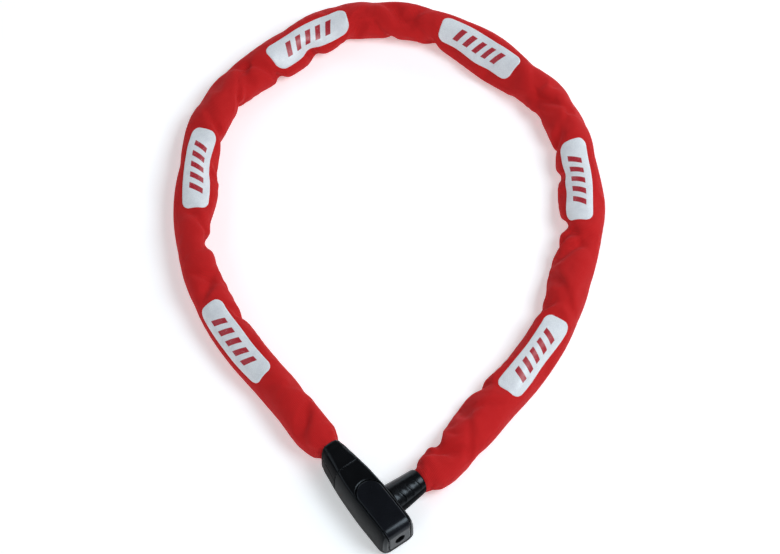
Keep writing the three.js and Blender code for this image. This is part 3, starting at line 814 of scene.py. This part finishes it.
# Folds: place, angle round the tube (0 outside, 90 top, 180 inside), depth, half length, half
# angle, skew.
FOLDS = [
    (131, 180, 2.5, 5, 55, -6), (200, 180, 5, 6, 65, 6), (286, 180, 3, 5, 50, -6),
    (325, 180, 4.5, 6, 60, -8), (356, 180, 2.5, 4, 50, 6), (389, 180, 3, 6, 45, 6),
    (422, 180, 5, 6, 60, -8), (447, 180, 2.5, 5, 60, 8), (479, 180, 3.5, 6, 60, 8),
    (587, 180, 5, 6, 65, -10), (617, 180, 2.5, 5, 50, 6), (641, 180, 2, 5, 45, -5),
    (683, 180, 2.5, 5, 55, -8), (700, 170, 2, 5, 55, 8), (755, 180, 3.5, 6, 60, 8),
    (829, 180, 1.5, 5, 50, 6), (875, 180, 3, 5, 60, -8), (155, 0, 0.7, 6, 40, -5),
    (197, 0, 0.7, 5, 40, 6), (257, 0, 1.2, 7, 50, 5), (383, 0, 0.8, 7, 45, -5),
    (479, 0, 0.8, 7, 40, 5), (629, 0, 1.2, 7, 50, 8), (725, 0, 0.8, 6, 40, 5),
    (868, 0, 1.2, 6, 45, 5), (47, 100, 1.6, 7, 60, 10), (76, 70, 1.0, 6, 50, -8),
    (163, 100, 2.2, 7, 65, 10), (174, 60, 1.4, 6, 50, -8), (212, 110, 1.8, 6, 55, -10),
    (296, 100, 1.6, 6, 60, -8), (331, 110, 2.4, 7, 65, -12), (341, 70, 1.6, 6, 50, 8),
    (428, 120, 1.6, 6, 55, -10), (458, 110, 2.4, 7, 65, 10), (470, 80, 1.6, 6, 55, -8),
    (571, 110, 2.0, 7, 60, 10), (584, 115, 2.6, 7, 70, -12), (600, 75, 1.5, 6, 50, 8),
    (692, 110, 1.6, 6, 55, -10), (704, 95, 2.2, 7, 65, 10), (742, 80, 1.8, 6, 60, -10),
    (750, 120, 1.6, 6, 55, 8), (838, 80, 1.8, 6, 60, 8), (866, 60, 1.8, 6, 55, -10),
    (882, 100, 2.4, 7, 65, 10),
]
PITCH = 29.804
LINK_HALF_LONG = 22.1
LINK_END_R = 9.8
RINGS, SIDES = 360, 32
CUT_WIDTH = 88.0  # the tube's circumference when flat, in mm
SLACK = 1.09  # how much longer the tube is than its route


def chain_reach(s, low=6.5, high=10.2):
    """Half width and half height of the chain: lying links are wide, upright ones tall."""
    def span(middle):
        d = np.abs((s - middle + PITCH) % (2 * PITCH) - PITCH)
        x = unit((LINK_HALF_LONG - d) / LINK_END_R)
        return low + (high - low) * np.sqrt(1 - (1 - x) ** 2)
    return span(1.5 * PITCH), span(0.5 * PITCH)


NOSE_TALL, COLLAR_TALL = 10.75, 6.9  # half heights of the tube's two ends
INTO_COLLAR = 890  # where the tube starts to narrow towards the collar


def start_shape(s, theta):
    """The tube before it settles, as places (towards outer side, up) round the chain's axis."""
    outer, inner = curve_through(OUTER, s), curve_through(INNER, s)
    half = (outer + inner) / 2
    shift = (outer - inner) / 2
    start = ease((s - SLEEVE_START - 1.5) / 15)
    ends = start * ease((SLEEVE_END - 3.5 - s) / 9)
    tall = np.clip(13.6 - 0.75 * (half - 13.2), 10.6, 12.6) * ends + (1 - ends) * NOSE_TALL
    tall = np.where(s > INTO_COLLAR, 12.4 * ends + COLLAR_TALL * (1 - ends), tall)
    cs, sn = np.cos(theta), np.sin(theta)
    q = (2.25 + (MOUTH_Q - 2.25) * (1 - start))[:, None]
    r = (np.abs(cs / half[:, None]) ** q + np.abs(sn / tall[:, None]) ** q) ** (-1 / q)
    for place, angle, depth, length, width, skew in FOLDS:
        turn = np.degrees(turn_from(theta, angle))
        centre = place + skew * turn / 60
        fall = np.exp(-((s[:, None] - centre) / length) ** 2 - (turn / width) ** 2)
        r = r - 1.5 * depth * fall * ends[:, None]
    x = r * cs + shift[:, None] * ends[:, None]
    z = r * sn
    wide, high = chain_reach(s)
    room = np.hypot(x / (wide + 0.7)[:, None], z / (high + 0.7)[:, None])
    push = np.where(ends[:, None] > 0.3, np.maximum(1, 1 / room), 1)
    return x * push, z * push


def on_route(s, x, z):
    centre, side = along_route(s)
    flat = centre[:, None, :] + side[:, None, :] * x[..., None]
    return np.concatenate([flat, (AXIS_Z + z)[..., None]], -1)


CLOTH_SCALE = 0.01  # the cloth settles at ten times life size, where the solver is steadier


def settle(points, s, frames=30):
    """Lets the tube settle over the chain and the floor, and returns its points."""
    scene = bpy.context.scene
    tube = make("tube", points * CLOTH_SCALE, [])
    tube.shape_key_add(name="Basis")
    flat = tube.shape_key_add(name="cut")
    turn = all_round(SIDES)
    radius = CUT_WIDTH / (2 * pi)
    length = (s - s[0])[:, None] * SLACK + 0 * turn
    rest = np.stack([radius * np.cos(turn) + 0 * length, length,
                     radius * np.sin(turn) + 0 * length], -1)
    flat.data.foreach_set("co", (rest * CLOTH_SCALE).astype(np.float32).ravel())
    flat.value = 0
    held = tube.vertex_groups.new(name="held")
    end_rings = (0, 1, RINGS - 2, RINGS - 1)
    held.add([i * SIDES + k for i in end_rings for k in range(SIDES)], 1.0, "REPLACE")

    core_rings, core_sides = 700, 28
    core_s = np.linspace(s[0] + 1, s[-1] - 2, core_rings)
    wide, high = chain_reach(core_s)
    near, far = unit((core_s - s[0]) / 14), unit((s[-1] - core_s) / 12)
    wide = (wide * near + 3.0 * (1 - near)) * far + 5.8 * (1 - far)
    high = (high * near + 8.2 * (1 - near)) * far + 5.8 * (1 - far)
    a = all_round(core_sides)
    core_points = on_route(core_s, wide[:, None] * np.cos(a), high[:, None] * np.sin(a))
    core = make("core", core_points * CLOTH_SCALE, [])
    ground = make("ground", square(-3, 6), [], closed=False)
    for solid, skin, grip in ((core, 0.012, 8), (ground, 0.006, 10)):
        solid.modifiers.new("collision", "COLLISION")
        solid.collision.thickness_outer = skin
        solid.collision.cloth_friction = grip

    cloth = tube.modifiers.new("cloth", "CLOTH")
    values = cloth.settings
    for name, value in {
        "quality": 6, "mass": 0.3, "air_damping": 2, "tension_stiffness": 30,
        "compression_stiffness": 20, "shear_stiffness": 8, "bending_stiffness": 5,
        "tension_damping": 10, "compression_damping": 10, "shear_damping": 5, "bending_damping": 1,
        "vertex_group_mass": "held", "pin_stiffness": 5, "rest_shape_key": flat,
        "use_pressure": True, "uniform_pressure_force": 2,
    }.items():
        setattr(values, name, value)
    cloth.collision_settings.distance_min = 0.008
    cloth.collision_settings.collision_quality = 3
    cloth.collision_settings.use_self_collision = False
    cloth.point_cache.frame_start, cloth.point_cache.frame_end = 1, frames
    first, last = scene.frame_start, scene.frame_end
    scene.frame_start, scene.frame_end = 1, frames
    for number in range(1, frames + 1):
        scene.frame_set(number)
    evaluated = tube.evaluated_get(bpy.context.evaluated_depsgraph_get())
    out = np.zeros(points.size)
    evaluated.data.vertices.foreach_get("co", out)
    for obj in (tube, core, ground):
        bpy.data.objects.remove(obj)
    scene.frame_set(1)
    scene.frame_start, scene.frame_end = first, last
    return out.reshape(points.shape) / CLOTH_SCALE


def finer(grid, n, axis, closed):
    """Catmull-Rom points between a grid's points, n for each."""
    grid = np.moveaxis(grid, axis, 0)
    if closed:
        rows = [np.roll(grid, k, 0) for k in (1, 0, -1, -2)]
    else:
        longer = np.vstack([2 * grid[:1] - grid[1:2], grid, 2 * grid[-1:] - grid[-2:-1]])
        rows = [longer[k:len(grid) - 1 + k] for k in range(4)]
    out = []
    for t in np.arange(n) / n:
        w = (-0.5 * t + t ** 2 - 0.5 * t ** 3, 1 - 2.5 * t ** 2 + 1.5 * t ** 3,
             0.5 * t + 2 * t ** 2 - 1.5 * t ** 3, -0.5 * t ** 2 + 0.5 * t ** 3)
        out.append(sum(wi * ri for wi, ri in zip(w, rows)))
    out = np.stack(out, 1).reshape(-1, *grid.shape[1:])
    if not closed:
        out = np.vstack([out, grid[-1:]])
    return np.moveaxis(out, 0, axis)


RIPPLES = 170


def creases(points, normal, s, theta, seed=11):
    """Presses the folds in again, sharper, and adds fine wrinkles: short ripples here and there."""
    rng = np.random.default_rng(seed)
    height = np.zeros(points.shape[:2])
    circumference = theta * CUT_WIDTH / (2 * pi)
    for place, angle, depth, length, width, skew in FOLDS:
        turn = np.degrees(turn_from(theta, angle))
        past = s[:, None] - place - skew * turn / 45
        valley = bell(np.where(past < 0, past / (0.45 * length), past / (0.8 * length)))
        ridge = 0.3 * bell((past + 1.1 * length) / (0.6 * length))
        size = min(0.8 * depth + 0.2, 2.2)
        height += (ridge - valley) * bell(turn / width) * size
    for _ in range(RIPPLES):
        place = rng.uniform(30, 895)
        middle = rng.uniform(0, CUT_WIDTH)
        lean = rng.uniform(-0.5, 0.5)
        wave = rng.uniform(5.5, 10)
        length, reach = rng.uniform(5, 9), rng.uniform(7, 15)
        size = rng.uniform(0.12, 0.34)
        near = np.abs(s - place) < 45
        du = (s[near] - place)[:, None]
        dv = (circumference - middle + CUT_WIDTH / 2) % CUT_WIDTH - CUT_WIDTH / 2
        du = du - lean * dv
        fall = np.exp(-(du / length) ** 2 - (dv / reach) ** 2)
        height[near] += size * fall * np.cos(2 * pi * du / wave)
    return points + normal * height[..., None]


def links_as_packed():
    """The chain's links as one searchable surface, in metres."""
    points, faces = [], []
    for name, node in frame["nodes"].items():
        if name.startswith("link_"):
            first = len(points)
            points += [node.matrix_world @ v.co for v in node.data.vertices]
            faces += [[first + i for i in p.vertices] for p in node.data.polygons]
    return BVHTree.FromPolygons(points, faces)


LINKS = links_as_packed()
BEYOND = 26.0  # how far from the chain's axis the search for a link starts
LINK_REACH = 13  # no link reaches further from that axis


def kept_off_links(points, s, cover):
    """Moves the fabric out wherever it is inside a link, or nearer to one than the cover in mm."""
    centre, side = along_route(s)
    off = points[..., :2] - centre[:, None, :]
    slide = off[..., 0] * side[:, None, 1] - off[..., 1] * side[:, None, 0]
    actual = (s[:, None] + slide).ravel()
    centre, _ = along_route(actual)
    flat = points.reshape(-1, 3).copy()
    axis = np.column_stack([centre, np.full(len(centre), AXIS_Z)])
    out = flat - axis
    reach = np.linalg.norm(out, axis=1)
    out /= np.maximum(reach, 1e-6)[:, None]
    for i in np.nonzero((reach < LINK_REACH) & (actual < SLEEVE_END - 6))[0]:
        begin = Vector((axis[i] + BEYOND * out[i]) * MM)
        travelled = LINKS.ray_cast(begin, Vector(-out[i]), BEYOND * MM)[3]
        if travelled is not None and BEYOND - travelled / MM + cover > reach[i]:
            flat[i] = axis[i] + (BEYOND - travelled / MM + cover) * out[i]
    return flat.reshape(points.shape)


def beside(points):
    """The mean of each point's four neighbours. The two end rings stay."""
    mean = points.copy()
    rings = points[1:-1]
    mean[1:-1] = (points[2:] + points[:-2] + np.roll(rings, 1, 1) + np.roll(rings, -1, 1)) / 4
    return mean


BADGES = [(117, 62), (254, 97), (390, 114), (520, 114), (653, 101), (792, 74)]  # place, angle
BADGE_HALF = (32.0, 10.9)
BADGE_CORNER = 6.0


def calmed(points, s, theta, passes=40):
    """Flattens the tube's small waves under each badge, which is stiffer than the fabric."""
    for place, angle in BADGES:
        off_s = np.abs(s - place) - BADGE_HALF[0]
        off_t = np.abs(turn_from(theta, angle)) * CUT_WIDTH / (2 * pi) - BADGE_HALF[1]
        weight = (1 - ease(off_s / 6 + 0.3))[:, None] * (1 - ease(off_t / 5 + 0.3))
        near = np.abs(s - place) < BADGE_HALF[0] + 12
        part, w = points[near], 0.5 * weight[near][..., None]
        for _ in range(passes):
            part = part + (beside(part) - part) * w
        points[near] = part
    return points


def drawn_tight(points, s, theta, reach=9.0):
    """Evens the fabric along the loop's outside, where the chain's bend draws it tight."""
    step = s[1] - s[0]
    around = np.arange(-round(2 * reach / step), round(2 * reach / step) + 1)
    share = np.exp(-0.5 * (around * step / reach) ** 2)
    centre, side = along_route(s)
    out = ((points[..., :2] - centre[:, None, :]) * side[:, None, :]).sum(-1)
    wide = np.pad(out, ((len(around) // 2, len(around) // 2), (0, 0)), mode="edge")
    even = sum(part * wide[i:i + len(s)] for i, part in enumerate(share / share.sum()))
    ends = ease((s - SLEEVE_START - 12) / 20) * ease((SLEEVE_END - 18 - s) / 20)
    weight = 0.85 * ends[:, None] * ease(1.5 * np.cos(theta) - 0.2)
    points[..., :2] += (weight * (even - out))[..., None] * side[:, None, :]
    return points


def build_tube():
    s = np.linspace(SLEEVE_START, SLEEVE_END, RINGS)
    theta = all_round(SIDES)
    x, z = start_shape(s, theta)
    points = on_route(s, x, z)
    points[..., 2] = np.maximum(points[..., 2], 0.6)
    points = settle(points, s)
    fine = 3
    points = calmed(points, s, theta, 10)
    points = finer(finer(points, fine, 0, False), fine, 1, True)
    s = finer(s[:, None], fine, 0, False)[:, 0]
    theta = all_round(SIDES * fine)
    points = creases(points, grid_normals(points), s, theta)
    points = drawn_tight(points, s, theta)
    points = kept_off_links(points, s, 0.9)
    for _ in range(3):
        points[12:-12] = beside(points)[12:-12]
    points = calmed(points, s, theta)
    points = kept_off_links(points, s, 0.5)
    points[..., 2] = np.maximum(points[..., 2], 0.15)
    return points, grid_normals(points), s, theta


tube, tube_normal, tube_s, tube_theta = build_tube()

# The tube is cut into pieces clear of the chain's hinges and of the badges. Each piece but
# the last stays fixed where it lies; the last is all on the last body.
CUTS = [SLEEVE_START, 153, 295, 440, 585, 720, 835, SLEEVE_END]
HINGES = [38.7, 178.8, 336.75, 476.9, 634.8, 774.9]
BODIES = ["lock_body"] + [f"chain_{number}" for number in range(1, 7)]
BEND_HALF = 18.0


def bend_over(piece, i):
    """Past the last hinge rides a piece on its body; any other piece only has its transform baked in.
    """
    if i == len(HINGES):
        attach(piece, BODIES[i])
        return
    flat, _ = along_route(np.array([HINGES[i] - BEND_HALF, HINGES[i] + BEND_HALF]), 0.5)
    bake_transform(piece)


def tube_places(index, s, columns):
    """The flat places of the tube's points, with the seam's last column a whole turn on."""
    row, column = index // columns, (index % columns).astype(float)
    corner = np.arange(len(index)) % 4
    column[((corner == 1) | (corner == 2)) & (column == 0)] = columns
    return np.stack([s[row] * SLACK, column * CUT_WIDTH / columns], -1)


sleeve_pieces = []
for i, (low, high) in enumerate(zip(CUTS, CUTS[1:])):
    first, last = (int(np.argmin(np.abs(tube_s - v))) for v in (low, high))
    rows = slice(first, last + 1)
    columns = tube.shape[1]
    piece = make(f"sleeve_cloth_{i + 1}", tube[rows] * MM, [fabric])
    set_uv(piece, lambda index: tube_places(index, tube_s[rows], columns))
    piece.data.normals_split_custom_set_from_vertices(tube_normal[rows].reshape(-1, 3).tolist())
    bend_over(piece, i)
    if i == 0:
        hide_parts("sleeve_0", "sleeve_1")
    elif i < len(HINGES):
        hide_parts(f"sleeve_{i + 1}")
    sleeve_pieces.append(piece)


# ---- Badges ----
def sample_tube(grid, s, theta):
    """A grid over the tube at other places, by straight interpolation."""
    last = len(tube_s) - 1
    i = np.clip((s - tube_s[0]) / (tube_s[-1] - tube_s[0]) * last, 0, last - 0.001)
    k = (theta / (2 * pi) * len(tube_theta)) % len(tube_theta)
    i0, k0 = i.astype(int), k.astype(int)
    a, b = (i - i0)[..., None], (k - k0)[..., None]
    k1 = (k0 + 1) % len(tube_theta)
    return (grid[i0, k0] * (1 - a) * (1 - b) + grid[i0 + 1, k0] * a * (1 - b)
            + grid[i0, k1] * (1 - a) * b + grid[i0 + 1, k1] * a * b)


def build_badge(number, place, angle):
    """A thin patch on the settled fabric, whose rim dips into it."""
    half_long, half_wide = BADGE_HALF
    u = np.r_[-1, np.linspace(-0.995, 0.995, 88), 1] * half_long
    v = np.r_[-1, np.linspace(-0.97, 0.97, 26), 1]
    past = np.clip(np.abs(u) - (half_long - BADGE_CORNER), 0, BADGE_CORNER)
    width = half_wide - BADGE_CORNER + np.sqrt(np.maximum(BADGE_CORNER ** 2 - past ** 2, 0.01))
    across = width[:, None] * v
    along = u[:, None] + 0 * across
    theta = radians(angle) + across / (CUT_WIDTH / (2 * pi))
    points = sample_tube(tube, place + along, theta)
    normal = sample_tube(tube_normal, place + along, theta)
    rim = np.minimum(half_long - np.abs(along), width[:, None] - np.abs(across))
    lift = -0.15 + 0.6 * ease(rim / 0.5 + 0.15)
    points = points + normal * lift[..., None]
    obj = make(f"badge_{number}", points * MM, [badge], closed=False)
    set_uv(obj, lambda index: np.stack([along.ravel()[index], across.ravel()[index]], -1))
    return obj


for i, (piece, low, high) in enumerate(zip(sleeve_pieces, CUTS, CUTS[1:])):
    badges = [build_badge(i + 1, *at) for at in BADGES[i:i + 1]]  # none on the last piece
    for patch in badges:
        bend_over(patch, i)


# ---- Floor and light ----
matt = surface("floor", (0.93, 0.93, 0.93), 0.9, specular=0.1)
matt.put(matt.shader, {"Emission Color": (1, 1, 1, 1), "Emission Strength": 0.35})
make("floor", square(-12, 12), [matt.holder], closed=False)

scene = bpy.context.scene
scene.view_settings.view_transform = "Standard"
sky = Nodes(bpy.data.worlds.new("studio"), "Background")
scene.world = sky.holder
height = sky.add("SeparateXYZ", {0: sky.coordinates("Generated")}).outputs[2]
brighter_low = sky.spread(height, 0.5, 0.07, 0.02, 0.16, interpolation_type="SMOOTHSTEP")
sky.put(sky.shader, {"Strength": brighter_low, "Color": (0.95, 0.98, 1.0, 1)})

CENTRE = (0.11, 0.13, 0.0)
LIGHT_AWAY = 1.7
LIGHT_COLOUR = (0.86, 0.94, 1.0)
for label, heading, size, radiance in [
    ("key", (0.34, -0.46, 0.81), 0.85, 8.8),
    ("left", (-0.64, 0.42, 0.64), 1.2, 1.1),
    ("back", (0.10, 0.95, 0.30), 1.0, 1.6),
    ("front", (-0.80, -0.50, 0.36), 0.9, 2.2),
    ("right", (0.92, 0.20, 0.36), 1.0, 3.1),
]:
    data = bpy.data.lights.new(label, "AREA")
    data.shape = "SQUARE"
    data.size = size
    data.energy = radiance * pi * size * size
    data.color = LIGHT_COLOUR
    away = Vector(heading).normalized() * LIGHT_AWAY
    aimed(label, data, Vector(CENTRE) + away, CENTRE)
